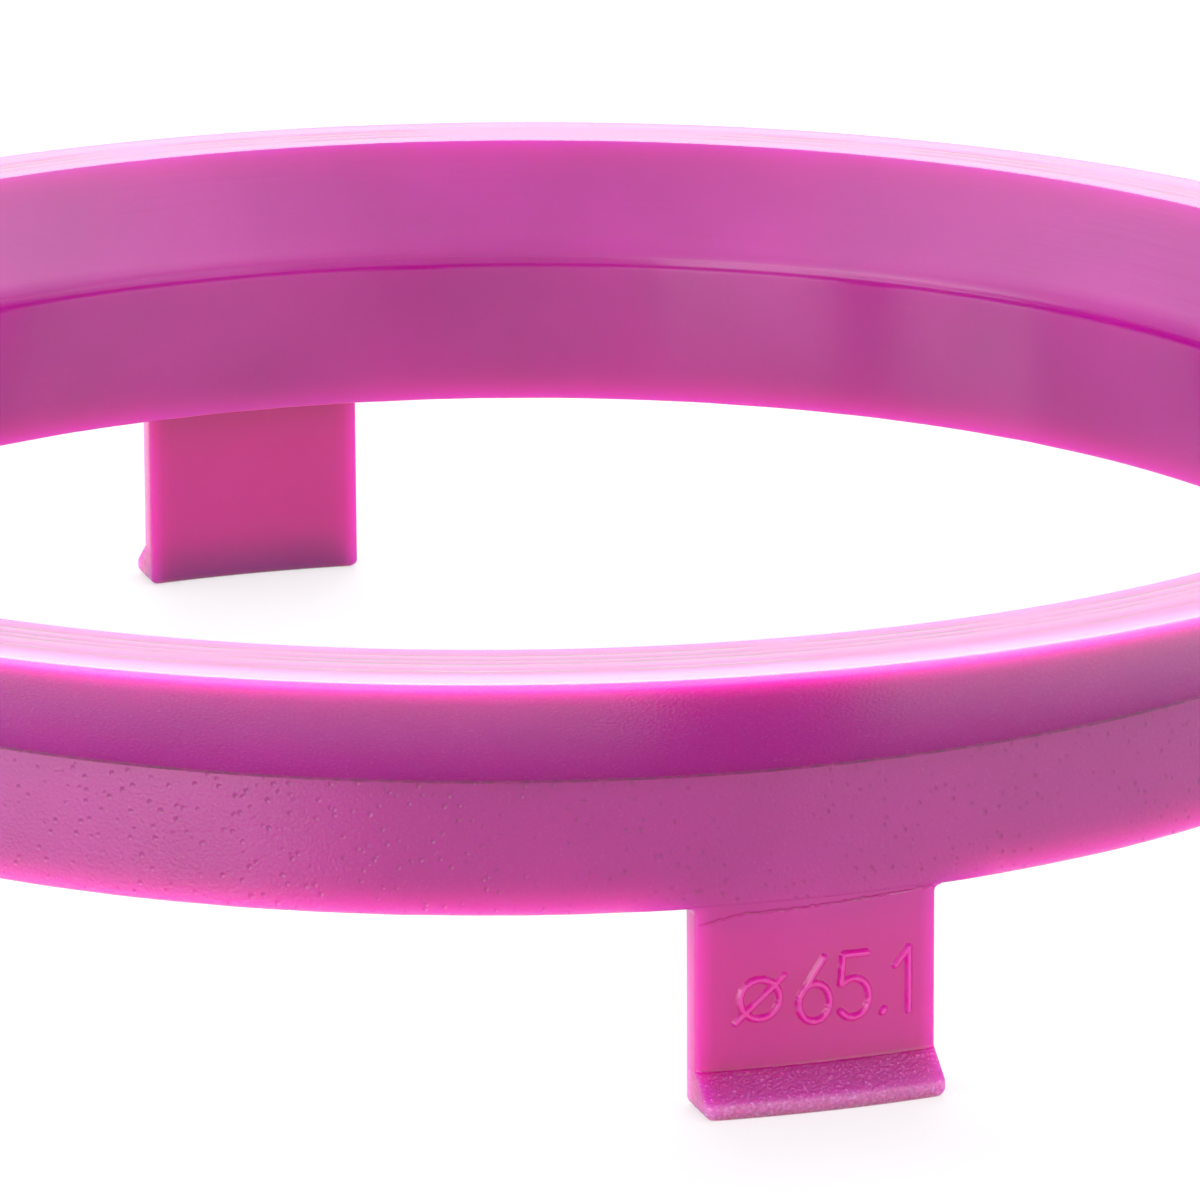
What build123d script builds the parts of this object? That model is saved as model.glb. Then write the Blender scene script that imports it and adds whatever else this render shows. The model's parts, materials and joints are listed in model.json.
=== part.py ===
# Hub centric ring: a one-piece plastic moulding that centres a car wheel on its hub.
# The seat fills the centre bore of the wheel and the bore slides over the smaller spigot of the hub.
# A conical collar stops the ring in the chamfer of the wheel, and hooked tabs clip in behind the bore.
# Frame: millimetres, +Z along the ring's axis, origin on the axis at the level of the tabs' feet.

import os

from build123d import *

# Ring body: the seat fits the wheel, and the wall leaves the bore that fits the hub
seat_diameter = 70.1
seat_wall = 2.5
seat_height = 4.75
lead_in_depth = 3.7

# Collar, whose flare and top face are measured to its sharp corner, with the top rolling off towards it
collar_flare = 5.25
collar_height = 5.0
top_face_width = 3.95
roll_off_width = 1.7
roll_off_drop = 0.18

# Softened edges of the ring body
collar_edge_radius = 0.12
bore_shoulder_radius = 0.6
lead_in_edge_chamfer = 0.1
lower_edge_chamfer = 0.15

# Clip tabs, shared out evenly round the lower edge
tab_count = 4
first_tab_angle = 45.0
tab_width = 8.6
tab_thickness = 1.1
tab_length = 7.2
tab_heel_radius = 0.3
tab_corner_radius = 0.3
tab_root_radius = 0.5
tab_root_lap = 0.3

# Hook along the foot of each tab
hook_reach = 1.2
hook_height = 1.45
hook_nose_height = 0.5
hook_undercut = 0.15
hook_nose_radius = 0.3
hook_foot_radius = 0.15

# Levels above the feet, and radii
lower_edge_level = tab_length
collar_level = lower_edge_level + seat_height
top_level = collar_level + collar_height
seat_radius = seat_diameter / 2
bore_radius = seat_radius - seat_wall
collar_corner_radius = seat_radius + collar_flare
roll_off_radius = collar_corner_radius - roll_off_width
lead_in_radius = collar_corner_radius - top_face_width
tab_inner_radius = seat_radius - tab_thickness
root_level = lower_edge_level + tab_root_lap
root_width = tab_width + 4 * tab_root_radius
nose_radius = seat_radius + hook_reach

# One tab, on the +X axis: the section of tab and hook turned about the ring's axis, then trimmed to width
with BuildPart() as clip_tab:
    with BuildSketch(Plane.XZ) as tab_section:
        with BuildLine():
            Polyline(
                (tab_inner_radius, collar_level),
                (tab_inner_radius, 0),
                (nose_radius - hook_undercut, 0),
                (nose_radius, hook_nose_height),
                (seat_radius, hook_height),
                (seat_radius, collar_level),
                close=True,
            )
        make_face()
        fillet(tab_section.vertices().sort_by(Axis.X)[-1], hook_nose_radius)
        fillet(tab_section.vertices().group_by(Axis.Y)[0].sort_by(Axis.X)[-1], hook_foot_radius)
        fillet(tab_section.vertices().group_by(Axis.Y)[0].sort_by(Axis.X)[0], tab_heel_radius)
    revolve(axis=Axis.Z)
    with BuildSketch(Plane.YZ) as tab_outline:
        Rectangle(tab_width, collar_level, align=(Align.CENTER, Align.MIN))
        with Locations((0, collar_level)):
            Rectangle(root_width, collar_level - root_level, align=(Align.CENTER, Align.MAX))
        fillet(tab_outline.vertices().group_by(Axis.Y)[1].sort_by(Axis.X)[1:-1], tab_root_radius)
        fillet(tab_outline.vertices().group_by(Axis.Y)[0], tab_corner_radius)
    extrude(amount=2 * nose_radius, mode=Mode.INTERSECT)

# The moulding: the section of the ring body turned about its axis, with the tabs added below
with BuildPart() as ring:
    with BuildSketch(Plane.XZ) as ring_section:
        with BuildLine():
            Polyline(
                (roll_off_radius, top_level),
                (lead_in_radius, top_level),
                (bore_radius, top_level - lead_in_depth),
                (bore_radius, lower_edge_level),
                (seat_radius, lower_edge_level),
                (seat_radius, collar_level),
                (collar_corner_radius, top_level - roll_off_drop),
            )
            TangentArc(
                (roll_off_radius, top_level),
                (collar_corner_radius, top_level - roll_off_drop),
                tangent=(1, 0),
            )
        make_face()
        fillet(ring_section.vertices().sort_by(Axis.X)[-1], collar_edge_radius)
        chamfer(ring_section.vertices().group_by(Axis.Y)[-1].sort_by(Axis.X)[0], lead_in_edge_chamfer)
        fillet(ring_section.vertices().group_by(Axis.X)[0].sort_by(Axis.Y)[-1], bore_shoulder_radius)
        chamfer(ring_section.vertices().group_by(Axis.Y)[0], lower_edge_chamfer)
    revolve(axis=Axis.Z)
    with PolarLocations(0, tab_count, start_angle=first_tab_angle):
        add(clip_tab.part)

os.makedirs("parts", exist_ok=True)
ring.part.label = "centring_ring"
export_step(ring.part, "parts/centring_ring.step")
print("ring volume", round(ring.part.volume), "box", ring.part.bounding_box().size)
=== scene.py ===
# %% [markdown]
# A hub centric ring is one small moulding of translucent magenta plastic. It clips into the centre
# bore of a car wheel and fills the gap to the hub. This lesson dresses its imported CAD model: the shape
# is made again with rounded edges, turning lines and a raised size, and gets a plastic that lets light in.
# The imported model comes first, because every size and place below is read from it or tied to it.

# %% Load the frame
import json
import math

import bpy
import numpy as np
from mathutils import Matrix, Vector


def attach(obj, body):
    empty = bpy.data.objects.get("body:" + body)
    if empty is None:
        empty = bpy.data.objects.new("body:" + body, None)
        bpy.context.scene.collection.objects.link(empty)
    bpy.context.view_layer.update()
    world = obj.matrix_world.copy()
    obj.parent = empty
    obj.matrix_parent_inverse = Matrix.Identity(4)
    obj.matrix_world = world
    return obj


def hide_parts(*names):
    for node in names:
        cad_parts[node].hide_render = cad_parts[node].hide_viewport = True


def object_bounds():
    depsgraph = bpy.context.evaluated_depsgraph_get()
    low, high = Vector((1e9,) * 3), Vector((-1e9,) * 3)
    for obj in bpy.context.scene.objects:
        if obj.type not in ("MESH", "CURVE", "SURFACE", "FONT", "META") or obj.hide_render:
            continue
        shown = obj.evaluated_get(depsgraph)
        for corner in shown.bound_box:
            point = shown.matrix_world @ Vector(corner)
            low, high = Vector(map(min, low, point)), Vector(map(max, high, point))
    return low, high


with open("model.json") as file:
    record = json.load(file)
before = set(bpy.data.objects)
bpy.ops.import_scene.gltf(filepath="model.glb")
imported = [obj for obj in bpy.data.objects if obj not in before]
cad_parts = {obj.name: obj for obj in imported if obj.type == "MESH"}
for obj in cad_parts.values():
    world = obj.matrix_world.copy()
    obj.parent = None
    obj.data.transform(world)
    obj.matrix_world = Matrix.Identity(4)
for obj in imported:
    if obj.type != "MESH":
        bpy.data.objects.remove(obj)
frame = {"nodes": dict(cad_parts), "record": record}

cad_low, cad_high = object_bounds()
mounts = {mount["name"]: mount for mount in frame["record"]["mounts"]}
print("CAD box in mm", [round(1000 * side, 2) for side in cad_high - cad_low])

# %% [markdown]
# The sizes are in millimetres, as on a drawing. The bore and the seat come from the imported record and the
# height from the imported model, and the others repeat the source of the part. Fine edges that only the
# picture needs are named later, where each is first used.

# %% Sizes of the moulding
MM = 0.001

bore_radius = mounts["hub_bore"]["dims"]["r_mm"]
seat_radius = mounts["wheel_seat"]["dims"]["r_mm"]
seat_height = 4.75
collar_height = 5.0
collar_flare = 5.25
top_face_width = 3.95
lead_in_depth = 3.7
roll_off_width = 1.7
roll_off_drop = 0.18

top_level = cad_high.z / MM
collar_level = top_level - collar_height
lower_level = collar_level - seat_height
lead_in_level = top_level - lead_in_depth
rim_level = top_level - roll_off_drop
collar_radius = seat_radius + collar_flare
lead_in_radius = collar_radius - top_face_width
print("ring from", round(lower_level, 2), "to", round(top_level, 2), "mm above the feet")

# %% [markdown]
# No edge of a moulding is quite sharp, because the tool that cut the mould left small radii. A Bevel
# modifier could round the edges, but an outline with its own arcs gives each corner its own radius. A
# point just past each end of an arc keeps the flat faces flat when the mesh is shaded smooth.

# %% Outlines with rounded corners
ARC_STEP = math.radians(13)
EDGE_EASE = 0.03


def rounded_outline(corners):
    """Points of a closed outline of corners (x, y, radius, face), each with the face that it lies on."""
    outline = []
    for k, (x, y, radius, face) in enumerate(corners):
        corner = Vector((x, y))
        before = (Vector(corners[k - 1][:2]) - corner).normalized()
        after = (Vector(corners[(k + 1) % len(corners)][:2]) - corner).normalized()
        if radius == 0:
            outline.append((corner, face))
            continue
        turn = math.pi - before.angle(after)
        reach = radius * math.tan(turn / 2)
        centre = corner + (before + after).normalized() * radius / math.cos(turn / 2)
        sweep = turn * (1 if before.cross(after) < 0 else -1)
        steps = math.ceil(turn / ARC_STEP)
        outline.append((corner + before * (reach + EDGE_EASE), corners[k - 1][3]))
        for step in range(steps + 1):
            spoke = corner + before * reach - centre
            spoke.rotate(Matrix.Rotation(sweep * step / steps, 2))
            outline.append((centre + spoke, face if 2 * step > steps else corners[k - 1][3]))
        outline.append((corner + after * (reach + EDGE_EASE), face))
    return outline


print("a square corner is rounded in", math.ceil(math.pi / 2 / ARC_STEP), "steps")

# %% [markdown]
# The ring body is turned: one section, carried once round the axis. On the real ring the top face rolls
# off a little towards the rim and shows a few turning lines. They could be painted on, but a groove
# catches the light, so the section gets five points across each line. More points near the edges are
# there for the painted edge glow, which fades away from them.

# %% Section of the ring body
line_radii = (38.95, 38.1, 37.7, 37.15)
line_width = 0.2
line_shares = (-0.5, -0.25, 0.0, 0.25, 0.5)
roll_off_shares = (0.16, 0.3, 0.45, 0.65, 1.0)
edge_rises = (0.35, 0.6, 0.9, 1.3)
rim_distances = (1.3, 0.9, 0.6, 0.4)
lower_edge_round = 0.15
collar_root_round = 0.08
rim_round = 0.12
lead_in_round = 0.1
shoulder_round = 1.5

top_radii = [collar_radius - share * roll_off_width for share in roll_off_shares]
top_radii += [r + share * line_width for r in line_radii for share in line_shares]
top_points = []
for r in sorted(top_radii, reverse=True):
    rolled = max(r - collar_radius + roll_off_width, 0) / roll_off_width
    top_points.append((r, top_level - roll_off_drop * rolled ** 2, 0, "top"))
collar_root = Vector((seat_radius, collar_level))
rim = Vector((collar_radius, rim_level))
down_cone = (collar_root - rim).normalized()
cone_points = [rim + down_cone * distance for distance in rim_distances]

ring_outline = rounded_outline([
    (bore_radius, lower_level, lower_edge_round, "lower edge"),
    (seat_radius, lower_level, lower_edge_round, "seat"),
    *((seat_radius, lower_level + rise, 0, "seat") for rise in edge_rises),
    (seat_radius, collar_level, collar_root_round, "cone"),
    *((p.x, p.y, 0, "cone") for p in cone_points),
    (collar_radius, rim_level, rim_round, "top"),
    *top_points,
    (lead_in_radius, top_level, lead_in_round, "lead-in"),
    (bore_radius, lead_in_level, shoulder_round, "bore"),
    *((bore_radius, lower_level + rise, 0, "bore") for rise in reversed(edge_rises)),
])
print("ring section of", len(ring_outline), "points")

# %% [markdown]
# Each point of the section also carries what its face is like, such as how strong the spark grain is.
# Light gathers at the edges of translucent plastic and leaves there, so a pale glow is painted along them.
# Shade is painted on the cone below the rim, at the collar's root and in the turning lines. Vertex paint
# could mark all this by hand, but a rule by face and distance follows every change of size. A mesh of loose
# points holds the numbers as attributes, for the node tree to look up.

# %% Finish along the section
# How strong the painted edge glow is on each face, and how far from the edge it fades out
painted_glow_strengths = {"seat": 0.9, "cone": 1.0, "top": 0.8, "lower edge": 0.8, "bore": 0.4}
edge_glow = 1.3
top_glow = 0.4
rim_reach = 0.28
face_shares = {
    "spark": {"seat": 0.3, "cone": 0.4},
    "turned": {"lead-in": 1.0, "top": 0.4},
    "pitted": {"seat": 1.0},
}
# The corner at the collar's root is torn and gets painted shade this close to it
root_reach = 0.05
# Painted shade on the cone, from a millimetre below the rim down, where it faces down
cone_shade = 0.6
cone_shade_start = 1.0
waver_margin = 1.0


def point_table(name, points, edges=(), **columns):
    """A mesh of points and edges, whose attributes are named columns of numbers."""
    mesh = bpy.data.meshes.new(name)
    mesh.from_pydata([tuple(p) for p in points], edges, [])
    for column, numbers in columns.items():
        attribute = mesh.attributes.new(column, "FLOAT", "POINT")
        attribute.data.foreach_set("value", np.asarray(numbers, np.float32))
    table = bpy.data.objects.new(name, mesh)
    bpy.context.scene.collection.objects.link(table)
    table.hide_render = True
    return table


def painted_glow_share(p, face):
    """How much painted glow a point shows: most at an edge, and nothing a little way from it."""
    away = (rim - p).length if p.y > collar_level else p.y - lower_level
    away = max(away - rim_reach, 0) / top_glow if face == "top" else away / edge_glow
    return painted_glow_strengths.get(face, 0) * max(1 - away, 0) ** 2


def line_share(p, face):
    """How deep a point lies in a turning line: all in its middle, and nothing beside it."""
    depths = [1 - (2 * abs(p.x - r) / line_width) ** 2 for r in line_radii]
    return max(0, *depths) if face == "top" else 0


ring_columns = {
    name: [shares.get(face, 0) for p, face in ring_outline]
    for name, shares in face_shares.items()
}
ring_columns["edge"] = [painted_glow_share(p, face) for p, face in ring_outline]
ring_columns["line"] = [line_share(p, face) for p, face in ring_outline]
ring_columns["ragged"] = [(p - collar_root).length < root_reach for p, face in ring_outline]
ring_columns["thin"] = [
    cone_shade if face == "cone" and (rim - p).length > cone_shade_start else 0
    for p, face in ring_outline
]
ring_columns["waver"] = [
    face in ("lower edge", "seat") and p.y < collar_level - waver_margin
    for p, face in ring_outline
]
ring_table = point_table("ring_section", [(p.x, 0, p.y) for p, face in ring_outline], **ring_columns)
print("section carries", ", ".join(ring_columns))

# %% [markdown]
# The ring's node tree lays out a flat grid and then wraps it round the axis: its columns are the places
# of the section and its rows are turns. A Screw modifier could turn the section too, but a tree can also
# change each point on its way, by the numbers that it carries. One small function adds every node, with
# its settings and links, for geometry and for shading alike.

# %% Start the ring's node tree
def add(tree, kind, inputs=(), out=0, **settings):
    """Add a node with its settings, set or link its inputs, and give back one of its output sockets."""
    node = tree.nodes.new(kind)
    for name, value in settings.items():
        setattr(node, name, value)
    for key, value in inputs.items() if isinstance(inputs, dict) else enumerate(inputs):
        if isinstance(value, bpy.types.NodeSocket):
            tree.links.new(value, node.inputs[key])
        else:
            node.inputs[key].default_value = value
    return node.outputs[out] if node.outputs else None


def new_tree(name, inputs):
    """A geometry node tree with inputs given as name: socket type, and the sockets to take them from."""
    tree = bpy.data.node_groups.new(name, "GeometryNodeTree")
    for label, socket_type in inputs.items():
        tree.interface.new_socket(label, in_out="INPUT", socket_type=socket_type)
    tree.interface.new_socket("Geometry", in_out="OUTPUT", socket_type="NodeSocketGeometry")
    return tree, add(tree, "NodeGroupInput").node.outputs


tree, given = new_tree("turned_ring", {
    "Section": "NodeSocketObject",
    "Section Points": "NodeSocketInt",
    "Turn Steps": "NodeSocketInt",
    "Line Depth": "NodeSocketFloat",
    "Edge Waver": "NodeSocketFloat",
})
print("ring tree takes", [socket.name for socket in given if socket.name])

# %% [markdown]
# A grid's UV map runs from 0 to 1 along its columns and rows, so it tells each point which place of the
# section it stands for. The last column is the first one again, which closes the section. Sample Index
# then reads the numbers of that place from the table.

# %% Look up the section
def grid_column(tree, u, count):
    """Which column of a grid a point lies in, where the last column is the first one again."""
    column = add(tree, "ShaderNodeMath", (u, count), operation="MULTIPLY")
    column = add(tree, "ShaderNodeMath", [column], operation="ROUND")
    return add(tree, "ShaderNodeMath", (column, count), operation="FLOORED_MODULO")


def looked_up(tree, points, index, names):
    """The named numbers of a table at an index, each as a socket."""
    found = {}
    for name in names:
        value = add(tree, "GeometryNodeInputNamedAttribute", [name], data_type="FLOAT")
        found[name] = add(tree, "GeometryNodeSampleIndex", {
            "Geometry": points,
            "Value": value,
            "Index": index,
        })
    return found


section = add(tree, "GeometryNodeObjectInfo", {"Object": given["Section"]}, "Geometry")
grid = add(tree, "GeometryNodeMeshGrid", {
    "Vertices X": add(tree, "ShaderNodeMath", (given["Section Points"], 1), operation="ADD"),
    "Vertices Y": add(tree, "ShaderNodeMath", (given["Turn Steps"], 1), operation="ADD"),
})
u, v = add(tree, "ShaderNodeSeparateXYZ", [grid.node.outputs["UV Map"]]).node.outputs[:2]
index = grid_column(tree, u, given["Section Points"])
found = looked_up(tree, section, index, ring_columns)
flat_place = add(tree, "GeometryNodeSampleIndex", {
    "Geometry": section,
    "Value": add(tree, "GeometryNodeInputPosition"),
    "Index": index,
}, data_type="FLOAT_VECTOR")
flat = add(tree, "ShaderNodeSeparateXYZ", [flat_place]).node.outputs
print("ring tree looks up", len(found), "numbers and a place")

# %% [markdown]
# Each place of the section turns about the axis by its row's share of a full turn. The painted glow along
# the lower edge stops above the tabs, because there the plastic goes on down into the tab. A cosine that
# swings once for each tab says how near the next tab is, and the rim and the bore keep their painted glow.

# %% Turn the section about the axis
tab_count = 4
# Cosines at 7 and 11 degrees from a tab's middle
tab_near, tab_far = -0.88, -0.72
bore_side = 0.5

turn = add(tree, "ShaderNodeMath", (v, math.tau), operation="MULTIPLY")
turned_by = add(tree, "FunctionNodeEulerToRotation", [add(tree, "ShaderNodeCombineXYZ", {"Z": turn})])
place = add(tree, "FunctionNodeRotateVector", {"Vector": flat_place, "Rotation": turned_by})
swing = add(tree, "ShaderNodeMath", (turn, tab_count), operation="MULTIPLY")
swing = add(tree, "ShaderNodeMath", [swing], operation="COSINE")
clear = add(tree, "ShaderNodeMapRange", (swing, tab_near, tab_far, 0.0, 1.0))
high = add(tree, "ShaderNodeMath", (flat["Z"], collar_level), operation="GREATER_THAN")
inner = add(tree, "ShaderNodeMath", (flat["X"], bore_radius + bore_side), operation="LESS_THAN")
clear = add(tree, "ShaderNodeMath", (clear, high), operation="MAXIMUM")
clear = add(tree, "ShaderNodeMath", (clear, inner), operation="MAXIMUM")
found["edge"] = add(tree, "ShaderNodeMath", (found["edge"], clear), operation="MULTIPLY")
print("pale lower edge stops at", tab_count, "tabs")

# %% [markdown]
# The turning lines of the real ring are not whole circles, and its lower edge is a little uneven, as the
# parting edge of a moulding is. Noise does both: it breaks up the lines in patches, and lifts and lowers
# the edge. The noise has a fixed place in space, so each run gives the same ring.

# %% Lines, lower edge and the ring body
# Noise scales are per millimetre: patches of 5 mm, and ripples of about 2 mm
patch_scale = 0.2
patch_limits = 0.38, 0.56
line_apart = 2.0
ripple_scale = 0.55
ripple_middle = 0.5
weld_distance = 0.002
turn_steps = 480

apart = add(tree, "ShaderNodeMath", (flat["X"], line_apart), operation="MULTIPLY")
patches = add(tree, "ShaderNodeTexNoise", {
    "Vector": place,
    "W": apart,
    "Scale": patch_scale,
    "Detail": 4.0,
}, noise_dimensions="4D")
broken = add(tree, "ShaderNodeMapRange", (patches, *patch_limits, 0.0, 1.0))
# The broken turning lines are cut into the top face, and the same share gives them painted shade
found["scored"] = add(tree, "ShaderNodeMath", (found["line"], broken), operation="MULTIPLY")
line = add(tree, "ShaderNodeMath", (found["scored"], given["Line Depth"]), operation="MULTIPLY")
ripple = add(tree, "ShaderNodeTexNoise", {"Vector": place, "Scale": ripple_scale, "Detail": 4.0})
waver = add(tree, "ShaderNodeMath", (ripple, ripple_middle), operation="SUBTRACT")
waver = add(tree, "ShaderNodeMath", (waver, given["Edge Waver"]), operation="MULTIPLY")
rise = add(tree, "ShaderNodeMath", (waver, found["waver"]), operation="MULTIPLY")
rise = add(tree, "ShaderNodeMath", (rise, line), operation="SUBTRACT")
shape = grid
for name in ("spark", "turned", "pitted", "edge", "ragged", "thin", "scored"):
    shape = add(tree, "GeometryNodeStoreNamedAttribute", {
        "Geometry": shape,
        "Name": name,
        "Value": found[name],
    })
shape = add(tree, "GeometryNodeSetPosition", {
    "Geometry": shape,
    "Position": place,
    "Offset": add(tree, "ShaderNodeCombineXYZ", {"Z": rise}),
})
shape = add(tree, "GeometryNodeMergeByDistance", {"Geometry": shape, "Distance": weld_distance})
shape = add(tree, "GeometryNodeFlipFaces", [shape])
add(tree, "NodeGroupOutput", [shape])


def grown_by(tree, name, values):
    """A new object made by a node tree, whose modifier inputs are set by their identifiers."""
    piece = bpy.data.objects.new(name, bpy.data.meshes.new(name))
    modifier = piece.modifiers.new(name, "NODES")
    modifier.node_group = tree
    for socket in tree.interface.items_tree:
        if socket.in_out == "INPUT":
            modifier[socket.identifier] = values[socket.name]
    bpy.context.scene.collection.objects.link(piece)
    return piece


ring_body = grown_by(tree, "ring_body", {
    "Section": ring_table,
    "Section Points": len(ring_outline),
    "Turn Steps": turn_steps,
    "Line Depth": 0.008,
    "Edge Waver": 0.05,
})
print("ring body of", len(ring_outline), "by", turn_steps, "points")

# %% [markdown]
# A clip tab is a thin upright tongue with a hook along its foot. It could be cut from a block, but here it
# is stacked up from level sections, each a rectangle with rounded corners that follows the ring's curve.
# Three plain rules give the stack its form: how far the hook reaches at each level, how far the heel is
# rounded away, and how wide the tab is.

# %% Levels of a clip tab
tab_width = 8.6
tab_thickness = 1.1
# The tab's face stands back by a hair, so that it and the seat don't share one surface when they join
tab_recess = 0.02
tab_root_lap = 0.6
heel_radius = 0.3
corner_radius = 0.3
root_radius = 0.25
hook_reach = 1.2
hook_height = 1.45
hook_undercut = 0.15
hook_foot_round = 0.15
hook_back_round = 0.12
nose_level = 0.5
nose_round = 0.3

tab_inner_radius = seat_radius - tab_thickness
tab_face_radius = seat_radius - tab_recess
tab_top = lower_level + tab_root_lap
nose_radius = seat_radius + hook_reach
hook_outline = [p for p, face in rounded_outline([
    (tab_inner_radius, 0, 0, "foot"),
    (nose_radius - hook_undercut, 0, hook_foot_round, "foot"),
    (nose_radius, nose_level, nose_round, "hook"),
    (tab_face_radius, hook_height, hook_back_round, "face"),
    (tab_face_radius, tab_top, 0, "face"),
    (tab_inner_radius, tab_top, 0, "inner"),
])[1:-1]]

# Heights and shares of the hook's grain and painted glow, and how strong and how wide the torn,
# painted-shade crease above it is
grain_rule = (nose_level, 1.5 * nose_level, hook_height - 0.1, hook_height), (1.0, 0.82, 0.82, 0)
glow_rule = (nose_level, 1.5 * nose_level, 0.9 * hook_height, hook_height), (0.85, 0.3, 0.0, 0)
crease_share = 0.5
crease_reach = 0.15


def quarter(radius, distance):
    """How far a quarter round of that radius stands back, at a distance from where it starts."""
    along = min(max(distance, 0), radius)
    return radius - math.sqrt(radius ** 2 - along ** 2)


def tab_level(z, keep=1):
    """The numbers of one level, in the order of level_columns. A level that isn't kept is a point."""
    reach = float(np.interp(z, [p.y for p in hook_outline], [p.x for p in hook_outline]))
    inner = tab_inner_radius + quarter(heel_radius, heel_radius - z)
    half = tab_width / 2 - quarter(corner_radius, corner_radius - z)
    half += quarter(root_radius, z - lower_level + root_radius)
    grain, glow = (float(np.interp(z, *rule)) for rule in (grain_rule, glow_rule))
    crease = crease_share * max(1 - abs(z - hook_height) / crease_reach, 0)
    return inner, reach, z, half, grain, glow, crease, keep


level_columns = "inner", "outer", "level", "half", "spark", "glow", "ragged", "keep"
print("level at the nose", {k: round(n, 2) for k, n in zip(level_columns, tab_level(nose_level))})

# %% [markdown]
# One tab carries a small raised size, as moulded rings do. Here it is the ring's own bore: a diameter
# sign and plain figures. A font would give flat letters with square edges, so each figure is a few strokes
# instead, made of lines and arcs, and the tab's face swells wherever a stroke is near.

# %% Strokes of the raised size
figure_height = 2.25
figure_width = 1.12
figure_rise = 1.45
base_level = hook_height + figure_rise


def arc_stroke(cx, cy, rx, ry, start, end, steps=20):
    """Points along an arc of an ellipse, by angles in degrees."""
    angles = np.radians(np.linspace(start, end, steps))
    return [(cx + rx * math.cos(a), cy + ry * math.sin(a)) for a in angles]


w, h = figure_width, figure_height
diameter_sign = [arc_stroke(0.75, 0.98, 0.7, 0.7, 0, 360), [(-0.1, 0.2), (1.6, 1.76)]]
six = [[(0.8 * w, h), *arc_stroke(w / 2, 0.3 * h, w / 2, 0.3 * h, 160, 520)]]
five_belly = arc_stroke(0.46 * w, 0.31 * h, 0.52 * w, 0.31 * h, 125, -140)
five = [[(0.92 * w, h), (0.14 * w, h), (0.06 * w, 0.55 * h), *five_belly]]
point = [[(0.1, 0.05), (0.16, 0.14)]]
one = [[(0.0, 0.74 * h), (0.5, h), (0.5, 0)]]
# Where each figure starts, across the tab from its middle
places = [(-2.84, diameter_sign), (-0.72, six), (0.72, five), (2.22, point), (2.78, one)]

stroke_points, stroke_edges = [], []
for left, figure in places:
    for stroke in figure:
        first = len(stroke_points)
        stroke_points += [(0, left + x, base_level + y) for x, y in stroke]
        stroke_edges += [(k, k + 1) for k in range(first, len(stroke_points) - 1)]
strokes = point_table("size_strokes", stroke_points, stroke_edges)
print("raised size of", len(stroke_edges), "short strokes")

# %% [markdown]
# Where this tab leaves the ring, the two halves of the mould met, and a ragged witness line was left on
# the plastic. It droops to one side. It could be drawn by hand, but a chain of short edges with a little
# seeded scatter is quicker and comes out the same each time. The tab's face is pressed in along it.

# %% Witness line at the tab's root
witness_step = 0.12
witness_scatter = 0.022
droop_across = (-4.3, -3.98, -2.58, 0.08, 2.6, 4.3)
droop_rise = (-0.62, -0.53, -0.25, -0.2, -0.09, 0.0)

random = np.random.default_rng(7)
witness_across = np.arange(droop_across[0], droop_across[-1], witness_step)
witness_rise = np.interp(witness_across, droop_across, droop_rise)
witness_rise += random.normal(0, witness_scatter, len(witness_across))
witness = point_table(
    "witness_line",
    [(0, y, lower_level + z) for y, z in zip(witness_across, witness_rise, strict=True)],
    [(k, k + 1) for k in range(len(witness_across) - 1)],
)
print("witness line of", len(witness_across), "points")

# %% [markdown]
# Two tables describe a stack: the levels, from foot to root, and the loop of points round one level. The
# tab with the raised size needs many more of both, because the figures are shaped by moving its points.
# The other tabs stay light.

# %% Tables for the stacks
quarter_turn = [math.radians(angle) for angle in range(0, 91, 15)]
loop_columns = "share", "side", "out", "outer"
hook_steps = 8
inner_steps = 24
plain_steps, sized_steps = 24, 200
plain_start, plain_step = 2, 0.6
fine_step = 0.04
figure_margin = 0.2
witness_below, witness_above = 0.75, 0.12


def listed(name, columns, rows):
    """A point table with one point for each row of numbers, and how many there are."""
    numbers = dict(zip(columns, zip(*rows), strict=True))
    return point_table(name, [(0, 0, 0)] * len(rows), **numbers), len(rows)


def tab_levels(extra):
    """The table of levels, at the heights where the tab's form changes and at the extra ones asked for."""
    slopes = [1 - math.sin(angle) for angle in quarter_turn]
    arcs = [radius * slope for radius in (heel_radius, corner_radius) for slope in slopes]
    root = [lower_level - root_radius * slope for slope in slopes]
    hook = [*np.linspace(nose_level, hook_height, hook_steps), *(p.y for p in hook_outline)]
    heights = sorted({round(float(z), 3) for z in (*arcs, *root, *hook, *extra, tab_top)})
    levels = [tab_level(0, keep=0), *(tab_level(z) for z in heights), tab_level(tab_top, keep=0)]
    return listed("tab_levels", level_columns, levels)


def tab_loop(outer_steps):
    """The table of a loop: share of the half width, the way a corner's arc points, and inside or outside."""
    loop = []
    for start, steps, outer in ((0, outer_steps, 1), (math.pi, inner_steps, 0)):
        way = 1 if outer else -1
        loop += [(way, start + a, outer) for a in quarter_turn]
        loop += [(way * s, start + math.pi / 2, outer) for s in np.linspace(1, -1, steps)[1:-1]]
        loop += [(-way, start + math.pi / 2 + a, outer) for a in quarter_turn]
    rows = [(share, math.cos(angle), math.sin(angle), outer) for share, angle, outer in loop]
    return listed("tab_loop", loop_columns, rows)


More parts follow.
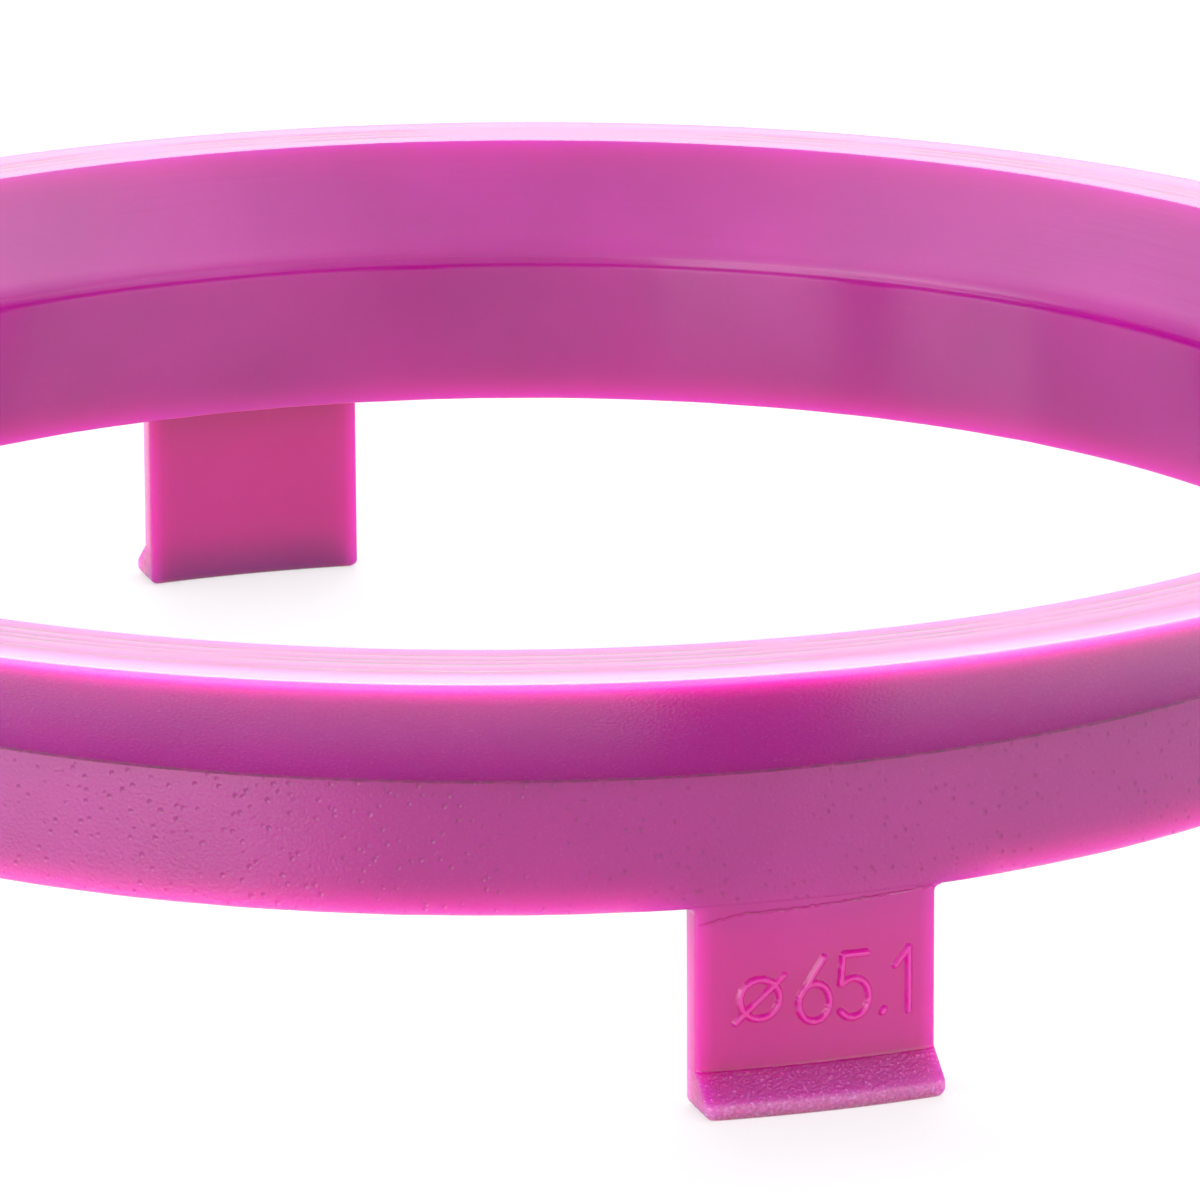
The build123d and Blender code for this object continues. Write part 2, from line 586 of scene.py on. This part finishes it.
figure_low, figure_high = base_level - figure_margin, base_level + figure_height + figure_margin
figure_levels = np.arange(figure_low, figure_high, fine_step)
witness_levels = np.arange(lower_level - witness_below, lower_level + witness_above, fine_step)
plain_levels = np.arange(plain_start, lower_level, plain_step)
plain_tables = tab_loop(plain_steps), tab_levels(plain_levels)
sized_tables = tab_loop(sized_steps), tab_levels((*figure_levels, *witness_levels))
for name, tables in (("plain", plain_tables), ("sized", sized_tables)):
    print(name, "tab of", " by ".join(str(count) for table, count in tables), "points")

# %% [markdown]
# The tab's tree crosses the loop with the levels, as the ring's tree crossed its section with the turns.
# The sizes of the relief are inputs of the tree, so that one tree makes the plain tabs and the sized one.

# %% Cross the loop with the levels
tree, given = new_tree("stacked_tab", {
    "Loop": "NodeSocketObject",
    "Loop Points": "NodeSocketInt",
    "Levels": "NodeSocketObject",
    "Level Count": "NodeSocketInt",
    "Strokes": "NodeSocketObject",
    "Witness": "NodeSocketObject",
    "Edge Radius": "NodeSocketFloat",
    "Stroke Width": "NodeSocketFloat",
    "Stroke Height": "NodeSocketFloat",
    "Witness Width": "NodeSocketFloat",
    "Witness Depth": "NodeSocketFloat",
})
grid = add(tree, "GeometryNodeMeshGrid", {
    "Vertices X": add(tree, "ShaderNodeMath", (given["Loop Points"], 1), operation="ADD"),
    "Vertices Y": given["Level Count"],
})
u, v = add(tree, "ShaderNodeSeparateXYZ", [grid.node.outputs["UV Map"]]).node.outputs[:2]
spot = grid_column(tree, u, given["Loop Points"])
row = add(tree, "ShaderNodeMath", (given["Level Count"], 1), operation="SUBTRACT")
row = add(tree, "ShaderNodeMath", (v, row), operation="MULTIPLY")
row = add(tree, "ShaderNodeMath", [row], operation="ROUND")
loop_points = add(tree, "GeometryNodeObjectInfo", {"Object": given["Loop"]}, "Geometry")
level_points = add(tree, "GeometryNodeObjectInfo", {"Object": given["Levels"]}, "Geometry")
around = looked_up(tree, loop_points, spot, loop_columns)
level = looked_up(tree, level_points, row, level_columns)
print("tab tree takes", [socket.name for socket in given if socket.name])

# %% [markdown]
# Each point gets two distances: across the tab, and out from the ring's axis. Both leave room for the
# rounded upright edges, and then follow their arcs. The two end levels shrink to a point in the middle of
# the wall, which closes the stack.

# %% Place the points of a level
soft = given["Edge Radius"]
across = add(tree, "ShaderNodeMath", (level["half"], soft), operation="SUBTRACT")
across = add(tree, "ShaderNodeMath", (around["share"], across), operation="MULTIPLY")
across = add(tree, "ShaderNodeMath", (around["side"], soft, across), operation="MULTIPLY_ADD")
across = add(tree, "ShaderNodeMath", (across, level["keep"]), operation="MULTIPLY")
outside = add(tree, "ShaderNodeMath", (level["outer"], soft), operation="SUBTRACT")
inside = add(tree, "ShaderNodeMath", (level["inner"], soft), operation="ADD")
reach = add(tree, "ShaderNodeMix", {0: around["outer"], 2: inside, 3: outside})
reach = add(tree, "ShaderNodeMath", (around["out"], soft, reach), operation="MULTIPLY_ADD")
middle = add(tree, "ShaderNodeMix", {0: 0.5, 2: level["inner"], 3: level["outer"]})
reach = add(tree, "ShaderNodeMix", {0: level["keep"], 2: middle, 3: reach})
print("tab tree has", len(tree.nodes), "nodes so far")

# %% [markdown]
# On the outer face, Geometry Proximity measures how far each point is from the strokes and from the
# witness line, and a smooth step of that distance raises or sinks the face. Then every point bends back
# to the ring's curve, with the same distance from the axis as before.

# %% Raise the figures and bend the tab
flat_limit = 0.999
swell_foot, swell_top = 0.5, 0.12

on_face = add(tree, "ShaderNodeCombineXYZ", {"Y": across, "Z": level["level"]})
flat_out = add(tree, "ShaderNodeMath", (around["out"], flat_limit), operation="GREATER_THAN")
raised = {}
for target, width, height in (
    ("Strokes", "Stroke Width", "Stroke Height"),
    ("Witness", "Witness Width", "Witness Depth"),
):
    lines = add(tree, "GeometryNodeObjectInfo", {"Object": given[target]}, "Geometry")
    away = add(tree, "GeometryNodeProximity", {
        "Geometry": lines,
        "Sample Position": on_face,
    }, "Distance", target_element="EDGES")
    swell = add(tree, "ShaderNodeMapRange", (
        away,
        add(tree, "ShaderNodeMath", (given[width], swell_foot), operation="MULTIPLY"),
        add(tree, "ShaderNodeMath", (given[width], swell_top), operation="MULTIPLY"),
        0.0,
        given[height],
    ), interpolation_type="SMOOTHSTEP")
    raised[target] = add(tree, "ShaderNodeMath", (swell, flat_out), operation="MULTIPLY")
    reach = add(tree, "ShaderNodeMath", (reach, raised[target]), operation="ADD")

across_square = add(tree, "ShaderNodeMath", (across, 2.0), operation="POWER")
reach_square = add(tree, "ShaderNodeMath", (reach, 2.0), operation="POWER")
depth = add(tree, "ShaderNodeMath", (reach_square, across_square), operation="SUBTRACT")
depth = add(tree, "ShaderNodeMath", [depth], operation="SQRT")
place = add(tree, "ShaderNodeCombineXYZ", (depth, across, level["level"]))
print("outer face follows", len(raised), "sets of lines")

# %% [markdown]
# The tab carries its finish as the ring does: a pale glow painted at its upright edges, at the hook's nose
# and on the figures, where it also stands in for their highlights; grain on the hook; and torn relief with
# painted shade along the witness line and the crease above the hook. Painted shade also deepens its outer
# face below the root, and its inner face much more.

# %% Finish of a tab
# Painted glow at the tab's sides and on the figures, and torn relief with painted shade along the witness
# line
side_glow, side_glow_width = 0.35, 0.6
figure_glow = 1.8
witness_tear_and_shade = -10.0
shade_height = 1.5
outer_shade = 0.0, 1.0
inner_shade = 2.7, 1.9

aside = add(tree, "ShaderNodeMath", [across], operation="ABSOLUTE")
start = add(tree, "ShaderNodeMath", (level["half"], side_glow_width), operation="SUBTRACT")
edge = add(tree, "ShaderNodeMapRange", (aside, start, level["half"], 0.0, side_glow))
glow = add(tree, "ShaderNodeMath", (level["glow"], around["outer"]), operation="MULTIPLY")
edge = add(tree, "ShaderNodeMath", (edge, glow), operation="MAXIMUM")
ridge = add(tree, "ShaderNodeMath", (raised["Strokes"], figure_glow), operation="MULTIPLY")
edge = add(tree, "ShaderNodeMath", (edge, ridge), operation="MAXIMUM")
# The crease above the hook and the witness line are torn, and get painted shade
crease = add(tree, "ShaderNodeMath", (level["ragged"], flat_out), operation="MULTIPLY")
sunk = add(tree, "ShaderNodeMath", (raised["Witness"], witness_tear_and_shade), operation="MULTIPLY")
crease = add(tree, "ShaderNodeMath", (crease, sunk), operation="MAXIMUM")
spark = add(tree, "ShaderNodeMath", (level["spark"], around["outer"]), operation="MULTIPLY")
# Painted shade on the outer face below the root, and much more on the inner face
shade_levels = level["level"], lower_level, lower_level - shade_height
thin = add(tree, "ShaderNodeMapRange", (*shade_levels, *outer_shade))
shaded = add(tree, "ShaderNodeMapRange", (*shade_levels, *inner_shade))
thin = add(tree, "ShaderNodeMix", {0: around["outer"], 2: shaded, 3: thin})
shape = grid
for name, value in (("spark", spark), ("edge", edge), ("ragged", crease), ("thin", thin)):
    shape = add(tree, "GeometryNodeStoreNamedAttribute", {"Geometry": shape, "Name": name, "Value": value})
shape = add(tree, "GeometryNodeSetPosition", {"Geometry": shape, "Position": place})
shape = add(tree, "GeometryNodeMergeByDistance", {"Geometry": shape, "Distance": weld_distance})
shape = add(tree, "GeometryNodeFlipFaces", [shape])
add(tree, "NodeGroupOutput", [shape])
print("tab tree of", len(tree.nodes), "nodes")

# %% [markdown]
# The same tree now grows two tabs, each on the +X axis: a plain one, whose relief has no height, and the
# one with the raised size.

# %% Grow a plain tab and the sized tab
tab_edge_radius = 0.16


def clip_tab(name, tables, stroke_height, witness_depth):
    """One tab on the +X axis, with its figures raised and its witness line sunk by these heights."""
    (loop_table, loop_count), (level_table, level_count) = tables
    return grown_by(tree, name, {
        "Loop": loop_table,
        "Loop Points": loop_count,
        "Levels": level_table,
        "Level Count": level_count,
        "Strokes": strokes,
        "Witness": witness,
        "Edge Radius": tab_edge_radius,
        "Stroke Width": 0.3,
        "Stroke Height": stroke_height,
        "Witness Width": 0.12,
        "Witness Depth": witness_depth,
    })


plain_tab = clip_tab("plain_tab", plain_tables, stroke_height=0.0, witness_depth=0.0)
sized_tab = clip_tab("sized_tab", sized_tables, stroke_height=0.16, witness_depth=-0.06)
print("grown", plain_tab.name, "and", sized_tab.name)

# %% [markdown]
# Ring and tabs left the mould as one piece, so they are joined as solids: the inner faces where they
# overlap have to go, or the light inside the plastic would stop at them. The tabs are copies turned about
# the axis, one of them with the raised size. Edges sharper than a set angle stay crisp, the rest is smooth.

# %% Tree that joins ring and tabs
tree, given = new_tree("joined_moulding", {
    "Ring": "NodeSocketObject",
    "Plain Tab": "NodeSocketObject",
    "Sized Tab": "NodeSocketObject",
    "Tab Count": "NodeSocketInt",
    "Sized Tab Turn": "NodeSocketFloat",
    "Crisp Angle": "NodeSocketFloat",
    "Unit": "NodeSocketFloat",
    "Material": "NodeSocketMaterial",
})
whole = {
    name: add(tree, "GeometryNodeObjectInfo", {"Object": given[name]}, "Geometry")
    for name in ("Ring", "Plain Tab", "Sized Tab")
}
spots = add(tree, "GeometryNodePoints", {"Count": given["Tab Count"]})
number = add(tree, "GeometryNodeInputIndex")
pitch = add(tree, "ShaderNodeMath", (math.tau, given["Tab Count"]), operation="DIVIDE")
turn = add(tree, "ShaderNodeMath", (number, pitch, given["Sized Tab Turn"]), operation="MULTIPLY_ADD")
turned_by = add(tree, "FunctionNodeEulerToRotation", [add(tree, "ShaderNodeCombineXYZ", {"Z": turn})])
first = add(tree, "FunctionNodeCompare", {2: number, 3: 0}, data_type="INT", operation="EQUAL")
rest = add(tree, "FunctionNodeBooleanMath", [first], operation="NOT")
union = add(tree, "GeometryNodeMeshBoolean", {"Mesh 2": whole["Ring"]}, operation="UNION", solver="MANIFOLD")
for chosen, tab in ((first, whole["Sized Tab"]), (rest, whole["Plain Tab"])):
    copies = add(tree, "GeometryNodeInstanceOnPoints", {
        "Points": spots,
        "Selection": chosen,
        "Instance": tab,
        "Rotation": turned_by,
    })
    solid = add(tree, "GeometryNodeRealizeInstances", [copies])
    tree.links.new(solid, union.node.inputs["Mesh 2"])
unit = add(tree, "ShaderNodeCombineXYZ", (given["Unit"], given["Unit"], given["Unit"]))
shape = add(tree, "GeometryNodeTransform", {"Geometry": union, "Scale": unit})
shape = add(tree, "GeometryNodeSetShadeSmooth", {"Geometry": shape, "Shade Smooth": True})
crease = add(tree, "GeometryNodeInputMeshEdgeAngle")
gentle = add(tree, "FunctionNodeCompare", (crease, given["Crisp Angle"]), operation="LESS_THAN")
shape = add(tree, "GeometryNodeSetShadeSmooth", {"Geometry": shape, "Shade Smooth": gentle}, domain="EDGE")
shape = add(tree, "GeometryNodeRealizeInstances", [shape])
shape = add(tree, "GeometryNodeSetMaterial", {"Geometry": shape, "Material": given["Material"]})
add(tree, "NodeGroupOutput", [shape])
print("joining tree of", len(tree.nodes), "nodes")

# %% [markdown]
# The trees worked in millimetres, and Blender counts in metres, so the joined shape is scaled on its way
# out. Baking turns it into a plain mesh, which needs neither the trees nor the tables any more, so those
# helper objects go.

# %% Bake the moulding
def baked(piece):
    """Turn what the modifiers make into the object's own plain mesh, and remove them."""
    graph = bpy.context.evaluated_depsgraph_get()
    mesh = bpy.data.meshes.new_from_object(piece.evaluated_get(graph))
    piece.modifiers.clear()
    piece.data = mesh
    mesh.name = piece.name
    return piece


plastic = bpy.data.materials.new("translucent_moulded_plastic")
moulding = baked(grown_by(tree, "ring_moulding", {
    "Ring": ring_body,
    "Plain Tab": plain_tab,
    "Sized Tab": sized_tab,
    "Tab Count": tab_count,
    "Sized Tab Turn": math.radians(315),
    "Crisp Angle": math.radians(24),
    "Unit": MM,
    "Material": plastic,
}))
kept = (moulding, *frame["nodes"].values())
for helper in [o for o in bpy.context.scene.objects if o.type == "MESH" and o not in kept]:
    bpy.data.objects.remove(helper)
moulding.data.calc_loop_triangles()
print("moulding of", len(moulding.data.loop_triangles), "triangles")

# %% [markdown]
# The plastic is a translucent polyamide, injection moulded in magenta. Light enters it, scatters for some
# millimetres, red the furthest, and comes out again. That is subsurface scattering on one shader. The
# colour is clouded where the pigment is uneven. On top of that, shade is painted into it where less light
# gets in, and a pale glow along the edges, where the light that was caught inside leaves. A volume shader
# could do that by itself, but it is slow and an exported model loses it.

# %% Body colour of the plastic
def hex_colour(code):
    """An sRGB hex colour as the linear values that a shader takes."""
    parts = [int(code[k:k + 2], 16) / 255 for k in (1, 3, 5)]
    return tuple(c / 12.92 if c <= 0.04045 else ((c + 0.055) / 1.055) ** 2.4 for c in parts) + (1.0,)


cloud_size = 6 * MM
painted_shade_strength = 0.35
pale_power, pale_share = 4.0, 0.6

plastic.use_nodes = True
tree = plastic.node_tree
shader = tree.nodes["Principled BSDF"]
shader.inputs["IOR"].default_value = 1.53
shader.inputs["Specular IOR Level"].default_value = 0.66
shader.inputs["Subsurface Weight"].default_value = 1.0
shader.inputs["Subsurface Radius"].default_value = (7.5, 1.0, 4.2)
shader.inputs["Subsurface Anisotropy"].default_value = 0.5
shader.inputs["Subsurface Scale"].default_value = MM

where = add(tree, "ShaderNodeTexCoord", out="Object")
spark, turned, pitted, edge, ragged, thin, scored = (
    add(tree, "ShaderNodeAttribute", out="Fac", attribute_name=name)
    for name in ("spark", "turned", "pitted", "edge", "ragged", "thin", "scored")
)
cloud = add(tree, "ShaderNodeTexNoise", {"Vector": where, "Scale": 1 / cloud_size, "Detail": 5.0})
tint = add(tree, "ShaderNodeMix", {
    0: cloud,
    6: hex_colour("#960480"),
    7: hex_colour("#AC0595"),
}, 2, data_type="RGBA")
# Painted shade where less light gets in, then a painted glow along the edges, palest right at them
painted_shade_share = add(tree, "ShaderNodeMath", (thin, painted_shade_strength), operation="MULTIPLY")
pale = add(tree, "ShaderNodeMath", (edge, pale_power), operation="POWER")
pale = add(tree, "ShaderNodeMath", (pale, pale_share), operation="MULTIPLY")
for share, colour in ((painted_shade_share, "#85037A"), (edge, "#DE3AA4"), (pale, "#F9ACB6")):
    tint = add(tree, "ShaderNodeMix", {0: share, 6: tint, 7: hex_colour(colour)}, 2, data_type="RGBA")
print("body colour of", len(tree.nodes), "nodes")

# %% [markdown]
# The outside of the mould was spark eroded, which leaves a fine grain on the plastic, strongest on the
# hooks. It dulls the gloss and shows as dark specks, and the glints that it catches are painted in as
# pale specks. Real spark grain is some hundredths of a millimetre wide, too fine to show here, so it is
# drawn a few times coarser.

# %% Spark grain on the outside
grain_size = 0.12 * MM
grain_height = 0.07 * MM
speck_power = 3.0
# Grain values where dark specks and painted glints start and are full, their share, and their colour
specks_and_glints = (0.5, 0.36, 0.3, "#74025F"), (0.58, 0.72, 0.7, "#F3A9DF")

grain = add(tree, "ShaderNodeTexNoise", {"Vector": where, "Scale": 1 / grain_size, "Detail": 3.0})
grain_depth = add(tree, "ShaderNodeMath", (spark, grain_height), operation="MULTIPLY")
relief = add(tree, "ShaderNodeMath", (grain, grain_depth), operation="MULTIPLY")
coarse = add(tree, "ShaderNodeMath", (spark, speck_power), operation="POWER")
for start, full, share, colour in specks_and_glints:
    speck_and_glint_share = add(tree, "ShaderNodeMapRange", (grain, start, full, 0.0, share))
    speck_and_glint_share = add(tree, "ShaderNodeMath", (speck_and_glint_share, coarse), operation="MULTIPLY")
    tint = add(tree, "ShaderNodeMix", {0: speck_and_glint_share, 6: tint, 7: hex_colour(colour)}, 2, data_type="RGBA")
print("spark grain drawn", round(grain_size / MM, 2), "mm wide")

# %% [markdown]
# The lead-in and the top of the mould were turned, which leaves faint rings. Noise that is squeezed flat
# makes them: it hardly changes round the ring, and quickly along the axis. Real ones are about a tenth of
# a millimetre apart, and are drawn coarser so that they show. The seat has shallow pits in patches, such
# as gas leaves that is caught in a mould. A pattern of cells spaces them, at about their real size.

# %% Rings and pits
squeeze = (0.02, 0.02, 1.0)
ring_spacing = 0.35 * MM
ring_height = 0.03 * MM
pit_spacing = 0.4 * MM
pit_drop = 0.03 * MM
pit_patch = 3.5 * MM
pit_patch_limits = 0.34, 0.5
pit_middle, pit_edge = 0.05, 0.3

squeezed = add(tree, "ShaderNodeVectorMath", (where, squeeze), operation="MULTIPLY")
rings = add(tree, "ShaderNodeTexNoise", {"Vector": squeezed, "Scale": 1 / ring_spacing, "Detail": 3.0})
ring_depth = add(tree, "ShaderNodeMath", (turned, ring_height), operation="MULTIPLY")
relief = add(tree, "ShaderNodeMath", (rings, ring_depth, relief), operation="MULTIPLY_ADD")
gap = add(tree, "ShaderNodeTexVoronoi", {"Vector": where, "Scale": 1 / pit_spacing}, "Distance")
patch = add(tree, "ShaderNodeTexNoise", {"Vector": where, "Scale": 1 / pit_patch, "Detail": 2.0})
pit_depth = add(tree, "ShaderNodeMapRange", (patch, *pit_patch_limits, 0.0, pit_drop))
pit_depth = add(tree, "ShaderNodeMath", (pit_depth, pitted), operation="MULTIPLY")
pit = add(tree, "ShaderNodeMapRange", (
    gap,
    pit_middle,
    pit_edge,
    -1.0,
    0.0,
), interpolation_type="SMOOTHSTEP")
relief = add(tree, "ShaderNodeMath", (pit, pit_depth, relief), operation="MULTIPLY_ADD")
print("pits", round(pit_spacing / MM, 2), "mm apart, rings drawn", round(ring_spacing / MM, 2), "mm apart")

# %% [markdown]
# The witness line and the creases are torn rather than smooth, and everything that is sunk, pits and
# turning lines too, gets painted shade, darker than the face round it. The painted shade goes into the
# base colour, and the fine relief into one Bump node. Grain and rings also make the plastic less glossy.

# %% Torn lines, painted shade and gloss
rag_size = 0.3 * MM
rag_height = 0.05 * MM
# Rag noise values, and the shares of painted shade that they give along the torn lines
rag_limits, rag_shares = (0.35, 0.6), (0.15, 0.7)
pit_shade = 0.3
groove_shade = 0.9
glossy, dull = 0.16, 0.4

rag = add(tree, "ShaderNodeTexNoise", {"Vector": where, "Scale": 1 / rag_size, "Detail": 3.0})
rag_depth = add(tree, "ShaderNodeMath", (ragged, rag_height), operation="MULTIPLY")
relief = add(tree, "ShaderNodeMath", (rag, rag_depth, relief), operation="MULTIPLY_ADD")
# Painted shade in the pits, along the torn lines and in the turning lines, towards a dark magenta
painted_hollow_shade = add(tree, "ShaderNodeMath", (pit, pit_depth), operation="MULTIPLY")
painted_hollow_shade = add(tree, "ShaderNodeMath", (painted_hollow_shade, -pit_shade / pit_drop), operation="MULTIPLY")
torn_shade = add(tree, "ShaderNodeMapRange", (rag, *rag_limits, *rag_shares))
torn_shade = add(tree, "ShaderNodeMath", (torn_shade, ragged), operation="MULTIPLY")
painted_hollow_shade = add(tree, "ShaderNodeMath", (painted_hollow_shade, torn_shade), operation="MAXIMUM")
painted_groove_shade = add(tree, "ShaderNodeMath", (scored, groove_shade), operation="MULTIPLY")
painted_hollow_shade = add(tree, "ShaderNodeMath", (painted_hollow_shade, painted_groove_shade), operation="MAXIMUM")
tint = add(tree, "ShaderNodeMix", {0: painted_hollow_shade, 6: tint, 7: hex_colour("#6B0258")}, 2, data_type="RGBA")
tree.links.new(tint, shader.inputs["Base Color"])
bump = add(tree, "ShaderNodeBump", {"Height": relief, "Strength": 1.0, "Distance": 1.0})
tree.links.new(bump, shader.inputs["Normal"])
rough = add(tree, "ShaderNodeMath", (spark, turned), operation="MAXIMUM")
rough = add(tree, "ShaderNodeMapRange", (rough, 0.0, 1.0, glossy, dull))
tree.links.new(rough, shader.inputs["Roughness"])

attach(moulding, "root")
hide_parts("centring_ring")
print("plastic of", len(tree.nodes), "nodes")

# %% [markdown]
# The camera has a long lens and stands a little above the ring, about 37 cm away. A near camera with a
# short lens would fill the frame too, but it would stretch the front of the ring. Its place is given by
# turns about the ring, and small turns aside set what is in the middle of the picture.

# %% Camera
top_middle = Vector((0, 0, top_level * MM))
camera_azimuth = 27.61
camera_elevation = 14.75
camera_distance = 369.2 * MM
camera_lens = 301.9
camera_sensor = 36
pan, tilt, roll = (math.radians(angle) for angle in (-0.534, -1.31, -0.43))


def stand_at(azimuth, elevation, distance):
    """A point round the ring: azimuth 0 stands at -Y, and grows to the right of who looks at the ring."""
    a, e = math.radians(azimuth), math.radians(elevation)
    way = Vector((math.sin(a) * math.cos(e), -math.cos(a) * math.cos(e), math.sin(e)))
    return top_middle + distance * way


def facing(place, aim):
    """The turn that points an object's -Z axis from a place to an aim, with its Y axis up."""
    return (aim - place).to_track_quat("-Z", "Y").to_matrix()


camera = bpy.data.objects.new("camera", bpy.data.cameras.new("camera"))
camera.data.sensor_width = camera_sensor
camera.data.lens = camera_lens
camera.data.clip_start, camera.data.clip_end = 0.01, 10
camera.location = stand_at(camera_azimuth, camera_elevation, camera_distance)
aside = Matrix.Rotation(pan, 3, "Y") @ Matrix.Rotation(tilt, 3, "X") @ Matrix.Rotation(roll, 3, "Z")
camera.rotation_euler = (facing(camera.location, top_middle) @ aside).to_euler()
bpy.context.scene.collection.objects.link(camera)
bpy.context.scene.camera = camera
print("camera at", [round(side / MM) for side in camera.location], "mm")

# %% [markdown]
# The ring stands on a sheet of white acrylic, which is smooth. The camera sees the sheet as white where
# nothing shades it: Light Path tells the camera's rays from the rest, and gives them a bright, matt sheet
# that still takes the shadow. Rays that come by way of the ring's own gloss see the polish as well, which
# puts the bands into the bore. All other light meets a plain grey-white sheet, so the floor doesn't light
# the ring more than a real one would.

# %% Floor
floor_radius = 2.0
floor_corners = 96
sheet_ior = 1.49
sheet_roughness = 0.05
sheet_light = 0.58

bpy.ops.mesh.primitive_circle_add(vertices=floor_corners, radius=floor_radius, fill_type="NGON")
floor = bpy.context.object
floor.name = "floor"
acrylic = bpy.data.materials.new("white_acrylic_sheet")
acrylic.use_nodes = True
tree = acrylic.node_tree
sheet = tree.nodes["Principled BSDF"]
sheet.inputs["Base Color"].default_value = hex_colour("#DADADA")
sheet.inputs["Roughness"].default_value = sheet_roughness
path = add(tree, "ShaderNodeLightPath").node.outputs
mirror = add(tree, "ShaderNodeFresnel", {"IOR": sheet_ior})
mirror = add(tree, "ShaderNodeMath", (mirror, path["Is Glossy Ray"]), operation="MULTIPLY")
white = add(tree, "ShaderNodeMath", (sheet_light, mirror), operation="SUBTRACT")
glow = add(tree, "ShaderNodeEmission", {"Color": hex_colour("#FFFFFF"), "Strength": white})
shade = add(tree, "ShaderNodeBsdfDiffuse", {"Color": hex_colour("#A2A2A2")})
bright = add(tree, "ShaderNodeAddShader", (glow, shade))
polish = add(tree, "ShaderNodeBsdfGlossy", {"Roughness": sheet_roughness})
polish = add(tree, "ShaderNodeMixShader", {0: mirror, 2: polish})
bright = add(tree, "ShaderNodeAddShader", (bright, polish))
seen = add(tree, "ShaderNodeMath", (path["Is Camera Ray"], path["Is Glossy Ray"]), operation="MAXIMUM")
seen = add(tree, "ShaderNodeMath", (seen, path["Is Transmission Ray"]), operation="MAXIMUM")
mixed = add(tree, "ShaderNodeMixShader", (seen, sheet.outputs[0], bright))
tree.links.new(mixed, tree.nodes["Material Output"].inputs["Surface"])
floor.data.materials.append(acrylic)
print("floor", 2 * floor_radius, "m across")

# %% [markdown]
# A glossy ring shows its lights, so each one is there for a soft side or a reflection. Two boxes stand low
# to the left and right and light the seat and the cone, and two small cards close to the floor brighten
# the ends of the seat. Two more boxes hang high at the sides and show in the lead-in. Behind the ring, a
# low box and a bright strip above it show in the top face and along the rim. A white world fills the rest.

# %% World and lights
world = bpy.data.worlds.new("studio")
bpy.context.scene.world = world
world.use_nodes = True
world.node_tree.nodes["Background"].inputs["Color"].default_value = hex_colour("#FFFFFF")
world.node_tree.nodes["Background"].inputs["Strength"].default_value = 1.0

# Degrees round from the camera and up, then distance, width and height in metres, and radiance
lights = {
    "left_box": (-50, 15, 0.5, 0.514, 0.194, 2.6),
    "right_box": (50, 15, 0.5, 0.33, 0.19, 0.7),
    "left_card": (-44.5, -11.3, 0.0612, 0.06, 0.01, 1.15),
    "right_card": (48, -11.3, 0.0612, 0.053, 0.01, 0.25),
    "high_left_box": (-90, 54, 0.5, 0.604, 0.287, 1.4),
    "high_right_box": (90, 54, 0.5, 0.604, 0.287, 1.85),
    "back_box": (176, 12.5, 0.5, 0.819, 0.167, 1.4),
    "back_strip": (181, 41, 0.5, 0.3, 0.2, 6.0),
}
for name, (azimuth, elevation, distance, width, height, radiance) in lights.items():
    light = bpy.data.lights.new(name, "AREA")
    light.shape, light.size, light.size_y = "RECTANGLE", width, height
    light.energy = radiance * math.pi * width * height
    lamp = bpy.data.objects.new(name, light)
    lamp.location = stand_at(camera_azimuth + azimuth, elevation, distance)
    lamp.rotation_euler = facing(lamp.location, top_middle).to_euler()
    lamp.visible_camera = False
    bpy.context.scene.collection.objects.link(lamp)
bpy.context.scene.view_settings.view_transform = "Standard"
print(len(lights), "lights face the ring")
